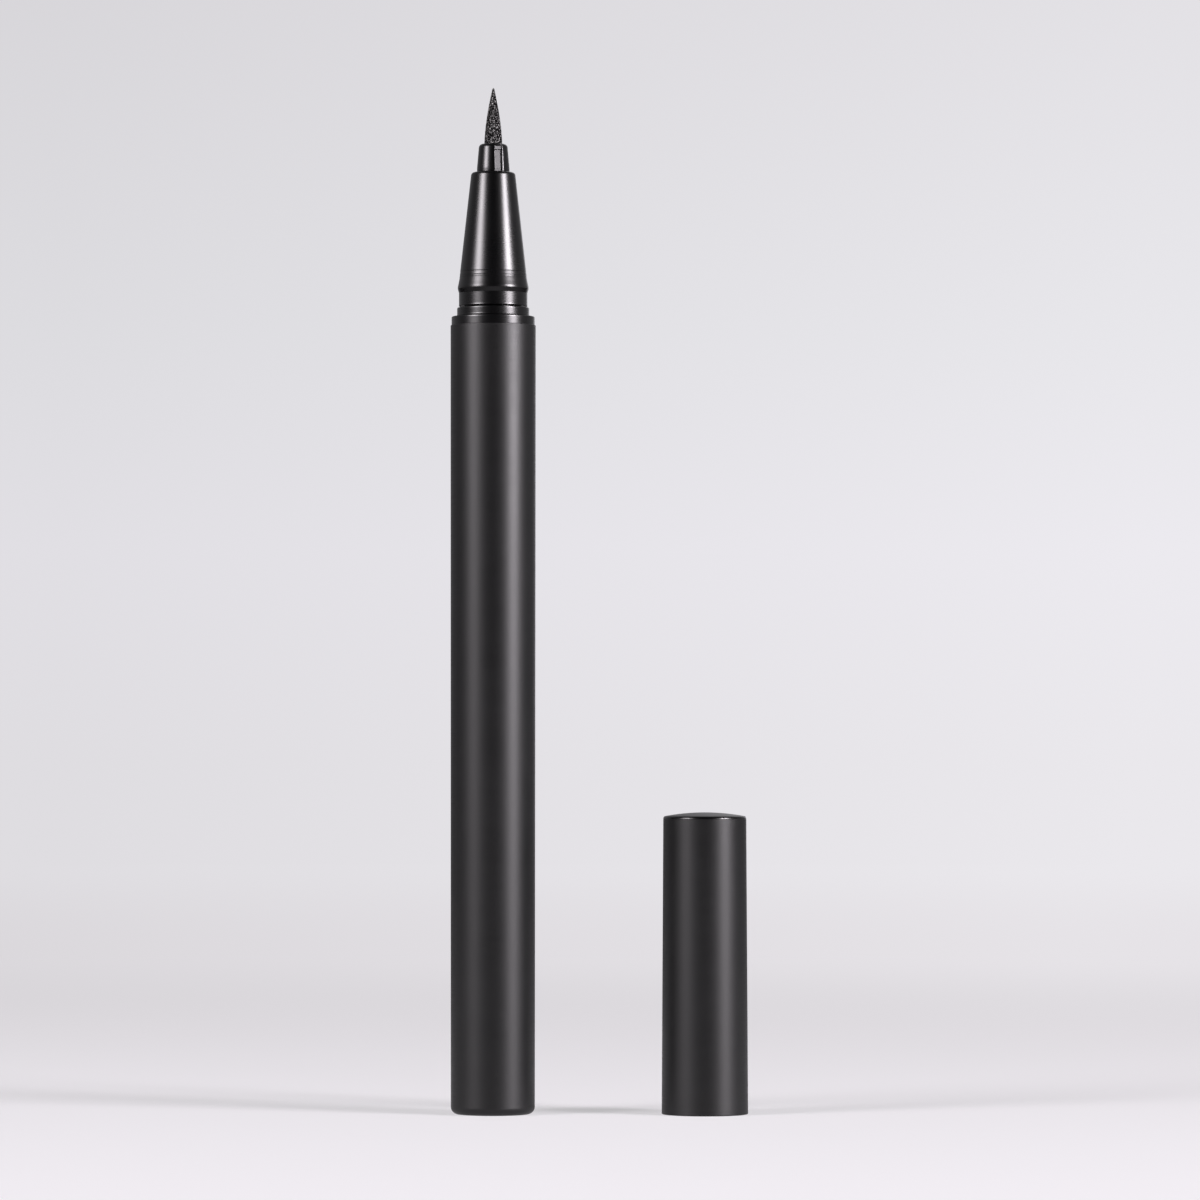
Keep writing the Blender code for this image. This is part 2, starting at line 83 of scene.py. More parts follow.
def filleted(corners):
    """Outline points with an arc of the given radius in each corner that asks for one."""
    points = []
    for i, (x, z, fillet) in enumerate(corners):
        here = Vector((x, z))
        if not fillet:
            points.append((x, z))
            continue
        before = Vector(corners[i - 1][:2]) - here
        after = Vector(corners[(i + 1) % len(corners)][:2]) - here
        half = before.angle(after) / 2
        reach = min(fillet / math.tan(half), FILLET_SHARE * min(before.length, after.length))
        start = here + before.normalized() * reach
        end = here + after.normalized() * reach
        centre = here + (before.normalized() + after.normalized()).normalized() * (reach / math.cos(half))
        a, b = start - centre, end - centre
        turn = a.angle_signed(b)
        for step in range(FILLET_STEPS + 1):
            angle = -turn * step / FILLET_STEPS
            points.append(
                (
                    centre.x + a.x * math.cos(angle) - a.y * math.sin(angle),
                    centre.y + a.x * math.sin(angle) + a.y * math.cos(angle),
                )
            )
    return points


def held(outline, closed, hold=0.04, long=0.3, most=1.5):
    """The outline with points added to each long run, which keep it straight under smooth shading. They lie
    at the distance hold from its ends, and no further apart than most."""
    points = []
    last = len(outline) if closed else len(outline) - 1
    for i, (x, z) in enumerate(outline):
        points.append((x, z))
        if i >= last:
            break
        x2, z2 = outline[(i + 1) % len(outline)]
        length = math.hypot(x2 - x, z2 - z)
        if length < long:
            continue
        inner = np.linspace(hold / length, 1 - hold / length, 2 + int(length / most))
        points += [(x + (x2 - x) * share, z + (z2 - z) * share) for share in inner]
    return points


def solid(name, points, faces, sharp):
    """A piece from points in millimetres, shaded smooth except at edges of more than sharp degrees."""
    mesh = bpy.data.meshes.new(name)
    mesh.from_pydata((points * MM).tolist(), [], faces)
    work = bmesh.new()
    work.from_mesh(mesh)
    bmesh.ops.recalc_face_normals(work, faces=work.faces[:])
    work.to_mesh(mesh)
    work.free()
    mesh.shade_smooth()
    mesh.set_sharp_from_angle(angle=math.radians(sharp))
    piece = bpy.data.objects.new(name, mesh)
    bpy.context.scene.collection.objects.link(piece)
    return piece


def turned(name, outline, axis_x=0.0, steps=FINE_STEPS, closed=False, sharp=40, shape=None, angles=None):
    """A solid of revolution. shape may move each row of points before the mesh is made."""
    angles = np.arange(steps) * (math.tau / steps) if angles is None else angles
    count = len(angles)
    verts, rows = [], []
    for radius, height in held(outline, closed):
        if radius < ON_AXIS:
            rows.append([len(verts)])
            verts.append((0.0, 0.0, height))
            continue
        x, y, z = radius * np.cos(angles), radius * np.sin(angles), np.full(count, height)
        if shape:
            x, y, z = shape(x, y, z, radius)
        rows.append(list(range(len(verts), len(verts) + count)))
        verts += list(zip(x, y, z))
    faces = []
    pairs = list(zip(rows, rows[1:])) + ([(rows[-1], rows[0])] if closed else [])
    for a, b in pairs:
        for i in range(count):
            j = (i + 1) % count
            if len(a) == 1:
                faces.append((a[0], b[i], b[j]))
            elif len(b) == 1:
                faces.append((a[i], b[0], a[j]))
            else:
                faces.append((a[i], b[i], b[j], a[j]))
    return solid(name, np.array(verts, float) + (axis_x, 0, 0), faces, sharp)


def stand_for(piece, node, body, look):
    piece.data.materials.append(look)
    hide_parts(node)
    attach(piece, body)
    return piece


# Node trees


class Tree:
    """A node tree, and short ways to add to it. A span is a pair of values, at its start and at its end."""

    def __init__(self, tree):
        self.tree = tree

    def add(self, kind, **settings):
        node = self.tree.nodes.new(kind)
        for key, value in settings.items():
            setattr(node, key, value)
        return node

    def link(self, source, target):
        self.tree.links.new(source, target)

    def axes(self, vector):
        parts = self.add("ShaderNodeSeparateXYZ")
        self.link(vector, parts.inputs["Vector"])
        return parts.outputs

    def spread(self, source, span, to=(0.0, 1.0), kind="LINEAR"):
        node = self.add("ShaderNodeMapRange", interpolation_type=kind)
        self.link(source, node.inputs["Value"])
        node.inputs["From Min"].default_value, node.inputs["From Max"].default_value = span
        node.inputs["To Min"].default_value, node.inputs["To Max"].default_value = to
        return node.outputs["Result"]

    def fade(self, source, span, to=(0.0, 1.0)):
        return self.spread(source, span, to, "SMOOTHSTEP")

    def maths(self, operation, a, b):
        node = self.add("ShaderNodeMath", operation=operation)
        for value, socket in ((a, node.inputs[0]), (b, node.inputs[1])):
            if isinstance(value, (int, float)):
                socket.default_value = value
            else:
                self.link(value, socket)
        return node.outputs["Value"]

    def times(self, a, b):
        return self.maths("MULTIPLY", a, b)

    def colours(self, factor, *stops):
        ramp = self.add("ShaderNodeValToRGB")
        self.link(factor, ramp.inputs["Fac"])
        points = ramp.color_ramp.elements
        while len(points) < len(stops):
            points.new(0.5)
        for point, (position, colour) in zip(points, stops):
            point.position = position
            point.color = (*colour, 1)
        return ramp.outputs["Color"]

    def diffuse(self, colour):
        node = self.add("ShaderNodeBsdfDiffuse")
        node.inputs["Color"].default_value = (*colour, 1)
        return node.outputs["BSDF"]

    def blend(self, factor, first, second):
        node = self.add("ShaderNodeMixShader")
        for source, socket in zip((factor, first, second), node.inputs):
            self.link(source, socket)
        return node.outputs["Shader"]

    def both(self, first, second):
        node = self.add("ShaderNodeAddShader")
        self.link(first, node.inputs[0])
        self.link(second, node.inputs[1])
        return node.outputs["Shader"]


# Materials

NOISE_SPAN = (0.3, 0.7)  # most of a noise lies between these
FINE_BUMP = 0.01 * MM


class Look(Tree):
    """A material's node tree with its Principled shader."""

    def __init__(self, name, colour, roughness, metallic=0.0, ior=1.5):
        self.material = bpy.data.materials.new(name)
        self.material.use_nodes = True
        super().__init__(self.material.node_tree)
        self.shader = self.tree.nodes["Principled BSDF"]
        self.shader.inputs["Base Color"].default_value = (*colour, 1)
        self.shader.inputs["Roughness"].default_value = roughness
        self.shader.inputs["Metallic"].default_value = metallic
        self.shader.inputs["IOR"].default_value = ior
        self.place = self.add("ShaderNodeTexCoord").outputs["Object"]
        self.bumps = None

    def noise(self, scale, detail, rough, stretch=None):
        """Noise of that many waves a metre, times a stretch along each axis if it is given."""
        vector = self.place
        if stretch:
            mapping = self.add("ShaderNodeMapping")
            self.link(self.place, mapping.inputs["Vector"])
            mapping.inputs["Scale"].default_value = stretch
            vector = mapping.outputs["Vector"]
        node = self.add("ShaderNodeTexNoise")
        self.link(vector, node.inputs["Vector"])
        node.inputs["Scale"].default_value = scale
        node.inputs["Detail"].default_value = detail
        node.inputs["Roughness"].default_value = rough
        return node.outputs["Fac"]

    def vary(self, source, low, high):
        return self.spread(source, NOISE_SPAN, (low, high))

    def feed(self, socket, source):
        self.link(source, self.shader.inputs[socket])

    def tint(self, source, low, high, span=NOISE_SPAN):
        self.feed("Base Color", self.colours(source, (span[0], low), (span[1], high)))

    def bump(self, height, strength, distance=FINE_BUMP):
        node = self.add("ShaderNodeBump")
        node.inputs["Strength"].default_value = strength
        node.inputs["Distance"].default_value = distance
        self.link(height, node.inputs["Height"])
        if self.bumps:
            self.link(self.bumps, node.inputs["Normal"])
        self.bumps = node.outputs["Normal"]
        self.feed("Normal", self.bumps)


def matt_black(name, worn=None):
    """Finely spark-grained plastic, with faint turning lines and places that handling has smoothed. Between
    two heights, if they are given, wear has made it glossier."""
    wear, fade = 0.16, 0.05 * MM
    look = Look(name, (0.001, 0.001, 0.0011), 0.42)
    grain = look.noise(9000, detail=2, rough=0.6)
    lines = look.noise(1, detail=3, rough=0.7, stretch=(260, 260, 5200))
    cloud = look.noise(130, detail=4, rough=0.55)
    mixed = look.maths("ADD", look.times(grain, 0.5), look.times(cloud, 0.5))
    look.tint(mixed, (0.0004, 0.0004, 0.0005), (0.0016, 0.0015, 0.0017))
    rough = look.maths("ADD", look.vary(lines, -0.035, 0.035), look.vary(cloud, 0.405, 0.435))
    if worn:
        height = look.axes(look.place)["Z"]
        low, high = worn
        start = look.spread(height, (low - fade, low + fade))
        end = look.spread(height, (high + fade, high - fade))
        rough = look.maths("SUBTRACT", rough, look.times(look.times(start, end), wear))
    look.feed("Roughness", rough)
    look.bump(grain, 0.12)
    look.bump(lines, 0.14)
    return look.material


def gloss_black():
    """Polished moulded plastic with hairlines round it from the mould."""
    look = Look("gloss_black", (0.0004, 0.0004, 0.0005), 0.277)
    hair = look.noise(1, detail=2, rough=0.6, stretch=(120, 120, 5200))
    cloud = look.noise(220, detail=3, rough=0.5)
    look.tint(cloud, (0.0002, 0.0002, 0.0003), (0.0007, 0.0007, 0.0008))
    look.feed("Roughness", look.maths("ADD", look.vary(hair, -0.003, 0.003), look.vary(cloud, 0.268, 0.286)))
    look.bump(hair, 0.004)
    return look.material


def black_felt():
    """Pressed fibres soaked with black ink. Pale specks in the colour are painted highlights that stand in
    for the glints of the wet fibres.
    """
    wet, damp = (0.0005, 0.0005, 0.0005), (0.006, 0.006, 0.006)
    # the two pale tones are painted glints, not a colour of the fibres
    painted_glint_dim, painted_glint = (0.06, 0.06, 0.059), (0.5, 0.49, 0.48)
    look = Look("black_felt", (0.03, 0.03, 0.03), 0.6, ior=1.1)
    clumps = look.noise(7200, detail=2, rough=0.75, stretch=(1, 1, 0.8))
    fibres = look.noise(12000, detail=2, rough=0.6, stretch=(1, 1, 0.6))
    # the upper stops of this ramp paint the fibres' glints into the colour
    look.feed("Base Color", look.colours(clumps, (0.42, wet), (0.5, damp), (0.57, painted_glint_dim), (0.67, painted_glint)))
    look.feed("Roughness", look.spread(fibres, (0.35, 0.65), (0.5, 0.75)))
    look.bump(clumps, 1.0, 0.1 * MM)
    look.bump(fibres, 0.6, 0.04 * MM)
    return look.material


def natural_plastic():
    """Milky unpigmented plastic, as it comes out of the mould."""
    look = Look("natural_plastic", (0.72, 0.72, 0.7), 0.4)
    cloud = look.noise(400, detail=3, rough=0.5)
    look.tint(cloud, (0.67, 0.67, 0.65), (0.76, 0.76, 0.745))
    look.feed("Roughness", look.vary(cloud, 0.34, 0.46))
    look.shader.inputs["Subsurface Weight"].default_value = 0.15
    look.shader.inputs["Subsurface Scale"].default_value = 0.8 * MM
    look.bump(look.noise(3000, detail=2, rough=0.5), 0.1)
    return look.material


def fibre_rod():
    """Bonded fibres along the rod, stained by the ink that they carry."""
    look = Look("fibre_rod", (0.12, 0.11, 0.11), 0.9)
    fibres = look.noise(1, detail=4, rough=0.6, stretch=(9000, 9000, 500))
    look.tint(fibres, (0.02, 0.02, 0.02), (0.3, 0.29, 0.28), span=(0.3, 0.75))
    look.feed("Roughness", look.vary(fibres, 0.8, 0.95))
    look.bump(fibres, 0.5, 0.04 * MM)
    return look.material


def steel():
    """Drawn or ground steel with fine scratches."""
    look = Look("steel", (0.6, 0.6, 0.6), 0.22, metallic=1.0)
    scratches = look.noise(1, detail=3, rough=0.6, stretch=(2500, 2500, 12000))
    look.tint(scratches, (0.52, 0.52, 0.53), (0.64, 0.64, 0.64))
    look.feed("Roughness", look.vary(scratches, 0.16, 0.3))
    look.bump(scratches, 0.1)
    return look.material


matt, gloss, felt = matt_black("matt_black"), gloss_black(), black_felt()
plastic, fibre, metal = natural_plastic(), fibre_rod(), steel()


# Barrel


def make_barrel():
    _, r, _, top = node_sizes("barrel")
    foot, mouth, tank = r - 0.09, r - 0.75, r - 1.15
    shelf, tank_floor = top - 27, 1.6
    outline = [
        (0, 0, 0),
        (foot, 0, 0.9),
        (r, top, 0.07),
        (mouth, top, 0.05),
        (mouth, shelf, 0),
        (tank, shelf, 0),
        (tank, tank_floor, 1.0),
        (0, tank_floor, 0),
    ]
    return turned("barrel_tube", filleted(outline))


stand_for(make_barrel(), "barrel", "pen", matt)


# Collar and ring, with a fine bead and a groove at the ring's foot


def make_collar():
    _, r, low, top = node_sizes("collar_bushing")
    seat = low + STEM
    foot, step, crown = seat - 0.045, seat + 1.02, top - 0.1
    ring, plug, bore = r - 0.695, r - 0.73, r - 1.53
    bead, groove = ring + 0.02, ring - 0.05
    ring_end, bead_top, bead_end, groove_top = step + 0.28, step + 0.17, step + 0.1, step + 0.06
    outline = [
        (bore, crown, 0),
        (ring - 0.018, crown, 0.1),
        (ring, crown - 0.2, 0.1),
        (ring, ring_end, 0.1),
        (bead, bead_top, 0.05),
        (bead, bead_end, 0.03),
        (groove, groove_top, 0.02),
        (groove, step, 0),
        (r - 0.02, step, 0.1),
        (r, step - 0.21, 0.1),
        (r, foot, 0),
        (plug, foot, 0),
        (plug, low, 0.25),
        (bore, low, 0),
    ]
    return turned("collar_ring", filleted(outline), closed=True)


stand_for(make_collar(), "collar_bushing", "pen", gloss)


# Nose: the cone flares out to the bead, under three faint lines where the mould's inserts meet


def make_nose():
    _, r, low, top = node_sizes("nose_cone")
    foot = low + STEM
    neck, bead = r - 0.165, r - 0.015
    lip, base, base_height = 2.74, neck - 0.01, foot + 3.02
    flare, flare_end, flare_depth = foot + 3.42, foot + 2.95, 0.088
    bead_top, bead_end, neck_top = foot + 2.38, foot + 2.19, foot + 1.64
    rim, rim_top, rim_end, rim_foot = neck + 0.015, foot + 0.19, foot + 0.06, foot + 0.02
    plug, bore, mouth, mouth_end = 3.57, 2.62, 1.73, top - 5.0
    line_half, line_floor = 0.06, 0.018  # half the width of a line at the surface and at its floor

    def cone(z):
        return lip + (top - z) * (base - lip) / (top - base_height)

    outline = [(mouth, top, 0.04), (lip, top, 0.4)]
    for z, depth in ((foot + 4.26, 0.014), (foot + 3.78, 0.01), (foot + 3.56, 0.01)):
        wall = cone(z)
        outline += [
            (wall, z + line_half, 0),
            (wall - depth, z + line_floor, 0),
            (wall - depth, z - line_floor, 0),
            (wall, z - line_half, 0),
        ]
    outline += [
        (cone(flare), flare, 0.3),
        (cone(flare) + flare_depth, flare_end, 1.5),
        (bead, bead_top, 1.3),
        (bead, bead_end, 0.05),
        (neck, neck_top, 0.2),
        (neck, rim_top, 0.08),
        (rim, rim_end, 0.03),
        (rim, rim_foot, 0.03),
        (plug, rim_foot, 0),
        (plug, low, 0.25),
        (bore, low, 0),
        (bore, mouth_end, 0),
        (mouth, mouth_end, 0),
    ]
    return turned("nose_shell", filleted(outline), closed=True, sharp=50)


stand_for(make_nose(), "nose_cone", "pen", gloss)


# Ferrule, with two vent flutes that have soft edges


def make_ferrule():
    low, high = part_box("tip_ferrule")
    stem, band, shoulder = 6.0, 0.45, 0.5
    seat, top = low.z / MM + stem, high.z / MM
    base_r, top_r, stem_r, bore = 2.035, 1.77, 1.68, 1.18
    round_r = 1.75  # what is inside this and under the seat has no flutes
    lean = math.atan((base_r - top_r) / (top - seat - band))
    arc_z = top - shoulder

    flutes = [math.radians(-68), math.radians(112)]
    half, lip = 0.45, 0.08  # half the width of a flute, and half the width of its soft edge
    levels = [(top - 0.8, 0.4), (top - 0.32, 0.16)]  # the upper end and the depth of each part of a flute
    facet_turn, facet_half, facet_fade = math.radians(8), math.radians(10), 0.1
    edge, lane_r = 2.2 * lip, 1.93
    lanes = [
        np.linspace(-half - edge, -half + edge, 26),
        np.linspace(-half + edge, half - edge, 14),
        np.linspace(half - edge, half + edge, 26),
    ]
    fan = np.arcsin(np.unique(np.concatenate(lanes).round(5)) / lane_r)
    rest = np.linspace(fan[-1], math.pi - fan[-1], 84)[1:-1]
    angles = np.concatenate([flutes[0] + fan, flutes[0] + rest, flutes[1] + fan, flutes[1] + rest])

    def wall(z):
        return np.minimum(top_r + (top - z) * math.tan(lean), base_r)

    arc_r = wall(arc_z) - shoulder / math.cos(lean)

    def skin(z):
        if z < arc_z + shoulder * math.sin(lean):
            return wall(z)
        return arc_r + math.sqrt(max(shoulder**2 - (z - arc_z) ** 2, 0))

    def flute(x, y, z, radius):
        """Cuts each flute, and the narrow flat beside it, into one row of points."""
        if radius < round_r and z[0] < seat + 0.001:
            return x, y, z
        for turn in flutes:
            beside = turn + facet_turn
            flat = x * math.cos(beside) + y * math.sin(beside) - wall(z) * math.cos(facet_half)
            flat = np.maximum(flat, 0) * smooth((levels[1][0] - z) / facet_fade)
            x, y = x - flat * math.cos(beside), y - flat * math.sin(beside)
            along = x * math.cos(turn) + y * math.sin(turn)
            across = -x * math.sin(turn) + y * math.cos(turn)
            side = smooth((half + lip - np.abs(across)) / (2 * lip)) * (along > 0)
            for level, depth in levels:
                end = smooth((level + lip - z) / (2 * lip))
                cut = np.maximum(along - (wall(z) - depth), 0) * side * end
                x, y, along = x - cut * math.cos(turn), y - cut * math.sin(turn), along - cut
        return x, y, z

    heights = [np.linspace(seat, levels[0][0] - 0.15, 20)]
    heights += [np.linspace(level - 0.12, level + 0.12, 24) for level, _ in levels]
    heights += [arc_z + shoulder * np.sin(np.linspace(lean, math.pi / 2, 16))]
    heights = np.unique(np.concatenate(heights).round(4))[::-1]
    outline = [(bore, top - 0.12), (bore + 0.03, top - 0.02), (bore + 0.08, top)]
    outline += [(skin(z), z) for z in heights]
    outline += [(stem_r, seat), (stem_r, seat - 5.75), (stem_r - 0.25, seat - stem), (bore, seat - stem)]
    return turned("ferrule_body", outline, closed=True, sharp=60, shape=flute, angles=angles)


stand_for(make_ferrule(), "tip_ferrule", "pen", gloss)


# Felt tip: an ogive whose surface is pressed fibre, rough enough to break its outline


def make_tip():
    low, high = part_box("felt_tip")
    foot, apex, length = low.z / MM, high.z / MM, 7.05
    seat = apex - length
    base_r, blunt, taper, crowding = 1.13, 0.135, 1.6, 1.15
    outline = [(0.0, apex)]
    for share in np.linspace(0, 1, 260) ** crowding:
        radius = blunt + (base_r - blunt) * (1 - (1 - share) ** taper)
        outline.append((radius, seat + (length - blunt) * (1 - share)))
    outline += [(base_r, foot + 0.2), (base_r - 0.2, foot), (0.0, foot)]

    def fuzz(x, y, z, radius):
        """Sinks one row of points by noises of about 7 and 19 waves a millimetre, less so near the apex."""
        if z[0] < seat - 0.3:
            return x, y, z
        grown = np.empty_like(x)
        for i in range(len(x)):
            lump = noise.fractal(Vector((x[i] * 7, y[i] * 7, z[i] * 4.5)), 0.6, 2.1, 3)
            fine = noise.noise(Vector((x[i] * 19, y[i] * 19, z[i] * 12)))
            grown[i] = lump * 0.02 + fine * 0.012 - 0.024
        keep = min(1.0, radius / 0.35)
        scale = 1 + np.minimum(grown, 0.0) * keep / radius
        return x * scale, y * scale, z

    return turned("felt_point", outline, steps=176, sharp=180, shape=fuzz)


stand_for(make_tip(), "felt_tip", "pen", felt)


# Cap: a tapered shell with a low dome, and a rib inside its mouth that snaps over the nose's bead

DOME_RISE = 0.5
CAP_FILLET = 0.31


def make_cap():
    axis, r, _, top = node_sizes("cap_shell")
    edge = top - DOME_RISE
    top_r, bore, guide = r - 0.205, r - 0.75, r - 1.13
    ledge, ledge_start, ledge_end, roof = guide - 0.3, 12.59, 13.29, edge - 1.43
    rib, rib_start, rib_crest, rib_end = bore - 0.25, 1.84, 2.29, 2.74
    outline = []
    for share in np.linspace(0, 1, 24):
        radius = (top_r - 2 * CAP_FILLET) * share
        outline.append((radius, edge + DOME_RISE * (1 - (radius / top_r) ** 2), 0))
    outline += [
        (top_r, edge, CAP_FILLET),
        (r, 0, 0.1),
        (bore + 0.15, 0, 0.03),
        (bore, 0.3, 0),
        (bore, rib_start, 0),
        (rib, rib_crest, 0.25),
        (bore, rib_end, 0),
        (bore, 11.99, 0),
        (ledge, ledge_start, 0),
        (ledge, ledge_end, 0),
        (guide, ledge_end, 0),
        (guide, roof, 0.6),
        (0, roof, 0),
    ]
    return turned("cap_body", filleted(outline), axis_x=axis)


cap_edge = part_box("cap_shell")[1].z - DOME_RISE * MM
worn = (cap_edge - CAP_FILLET * MM, cap_edge - 0.05 * MM)
stand_for(make_cap(), "cap_shell", "cap", matt_black("matt_black_cap", worn))


# Inner cap


def make_cup():
    axis, flange, low, top = node_sizes("inner_cap")
    boss, body, bore, seal = 2.75, flange - 0.3, flange - 0.9, 3.138
    roof, rim = top - 0.9, 0.8
    depth, seal_top = roof - 0.9, low + 0.5
    outline = [
        (0, top, 0),
        (boss, top, 0.25),
        (boss, roof, 0.05),
        (flange, roof, 0.08),
        (flange, roof - rim, 0.05),
        (body, roof - rim, 0.05),
        (body, low + rim, 0.05),
        (flange, low + rim, 0.05),
        (flange, low, 0.08),
        (seal + 0.2, low, 0),
        (seal, low + 0.2, 0),
        (seal, seal_top, 0),
        (bore, seal_top, 0),
        (bore, depth, 0.6),
        (0, depth, 0),
    ]
    return turned("sealing_cup", filleted(outline), axis_x=axis, steps=160)


stand_for(make_cup(), "inner_cap", "seal", plastic)


# Cap spring: wound wire whose end turns lie close. In the pen it is pressed shorter as the inner cap is
# pushed in; here it is made at one length.


def make_spring():
    _, outer, low, high = node_sizes("cap_spring")
    axis = node_sizes("cap_shell")[0]
    wire, sides = 0.25, 16
    turns, turn_steps, close = 4.5, 40, 0.54
    closed_turns, opening_turns = 0.6, 0.5  # at each end
    coil = outer - wire
    turn = np.linspace(0, turns, round(turns * turn_steps) + 1)
    opened = smooth((np.minimum(turn, turns - turn) - closed_turns) / opening_turns)
    opened = np.concatenate([[0], np.cumsum((opened[1:] + opened[:-1]) / 2 * np.diff(turn))])
    rise = high - low - 2 * wire
    height = close * turn + (rise - close * turns) * opened / opened[-1]
    angle = math.tau * turn
    centres = np.stack([coil * np.cos(angle), coil * np.sin(angle), low + wire + height], 1)
    along = np.gradient(centres, axis=0)
    along /= np.linalg.norm(along, axis=1)[:, None]
    out = np.stack([np.cos(angle), np.sin(angle), np.zeros_like(angle)], 1)
    up = np.cross(along, out)
    around = np.arange(sides) * (math.tau / sides)
    verts = [centres[0]]
    for centre, a, b in zip(centres, out, up):
        verts += [centre + wire * (a * math.cos(t) + b * math.sin(t)) for t in around]
    verts.append(centres[-1])
    last = len(verts) - 1
    faces = []
    for i in range(sides):
        j = (i + 1) % sides
        faces.append((0, 1 + i, 1 + j))
        faces.append((last, last - sides + j, last - sides + i))
        for row in range(len(centres) - 1):
            k = 1 + row * sides
            faces.append((k + i, k + sides + i, k + sides + j, k + j))
    return solid("spring_coil", np.array(verts) + (axis, 0, 0), faces, sharp=50)


spring = stand_for(make_spring(), "cap_spring", "cap", metal)
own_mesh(spring)


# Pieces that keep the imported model's shape

for node, look in (
    ("collector", plastic),
    ("partition_plug", plastic),
    ("feed_rod", fibre),
    ("agitator_ball", metal),
):
    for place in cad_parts[node].material_slots:
        place.material = look


# Studio

NECK_HEIGHT = 0.1
CAMERA_PLACE = (0.01334, -0.75, 0.044)
CAMERA_TILT = 1.5274
SIDE_SPAN = (-0.09, 0.09)  # the backdrop's left and right, as seen from the camera
SIDE_LEVELS = (0.94, 1.05)  # how bright it is there


def colour_of(*levels):
    """Linear values of levels on the 0 to 255 display scale."""
    shares = (level / 255 for level in levels)
    return tuple(share / 12.92 if share <= 0.04045 else ((share + 0.055) / 1.055) ** 2.4 for share in shares)


def softbox(name, azimuth, width, soft, low, soft_low, high, soft_high, distance, radiance, tint):
    """An upright rectangle of light with faded edges. Its sizes are in degrees, as seen from a point at the
    pen's neck: width, low and high are where it has half its brightness, and soft values are how wide each
    edge fades."""
    bottom, full_low, full_high, top = (
        NECK_HEIGHT + distance * math.tan(math.radians(angle))
        for angle in (low - soft_low / 2, low + soft_low / 2, high - soft_high / 2, high + soft_high / 2)
    )
    light = bpy.data.lights.new(name, "AREA")
    light.shape = "RECTANGLE"
    light.size = 2 * distance * math.tan(math.radians((width + soft) / 2))
    light.size_y = top - bottom
    light.color = tint
    light.energy = radiance * math.pi * light.size * light.size_y
    light.use_nodes = True
    tree = Tree(light.node_tree)
    parts = tree.axes(tree.add("ShaderNodeNewGeometry").outputs["Parametric"])
    edge = soft / (width + soft)
    foot, head = (full_low - bottom) / light.size_y, (full_high - bottom) / light.size_y
    sides = tree.times(tree.fade(parts["X"], (0, edge)), tree.fade(parts["X"], (1, 1 - edge)))
    ends = tree.times(tree.fade(parts["Y"], (0, foot)), tree.fade(parts["Y"], (1, head)))
    tree.link(tree.times(sides, ends), light.node_tree.nodes["Emission"].inputs["Strength"])
    lamp = bpy.data.objects.new(name, light)
    angle = math.radians(azimuth)
    lamp.location = (distance * math.sin(angle), -distance * math.cos(angle), (bottom + top) / 2)
    aim = Vector((-lamp.location.x, -lamp.location.y, 0))
    lamp.rotation_mode = "QUATERNION"
    lamp.rotation_quaternion = aim.to_track_quat("-Z", "Y")
    lamp.visible_camera = False
    bpy.context.scene.collection.objects.link(lamp)


softbox(
    "right_softbox",
    azimuth=58.4,
    width=20.7,
    soft=6.6,
    low=5.7,
    soft_low=7.8,
    high=18.7,
    soft_high=10,
    distance=0.99,
    radiance=56.8,
    tint=(1.0, 0.945, 1.0),
)
softbox(
    "left_softbox",
    azimuth=-54,
    width=13.9,
    soft=29,
    low=9.7,
    soft_low=13.6,
    high=24.5,
    soft_high=20.8,
    distance=0.94,
    radiance=46.5,
    tint=(1.0, 0.945, 0.99),
)


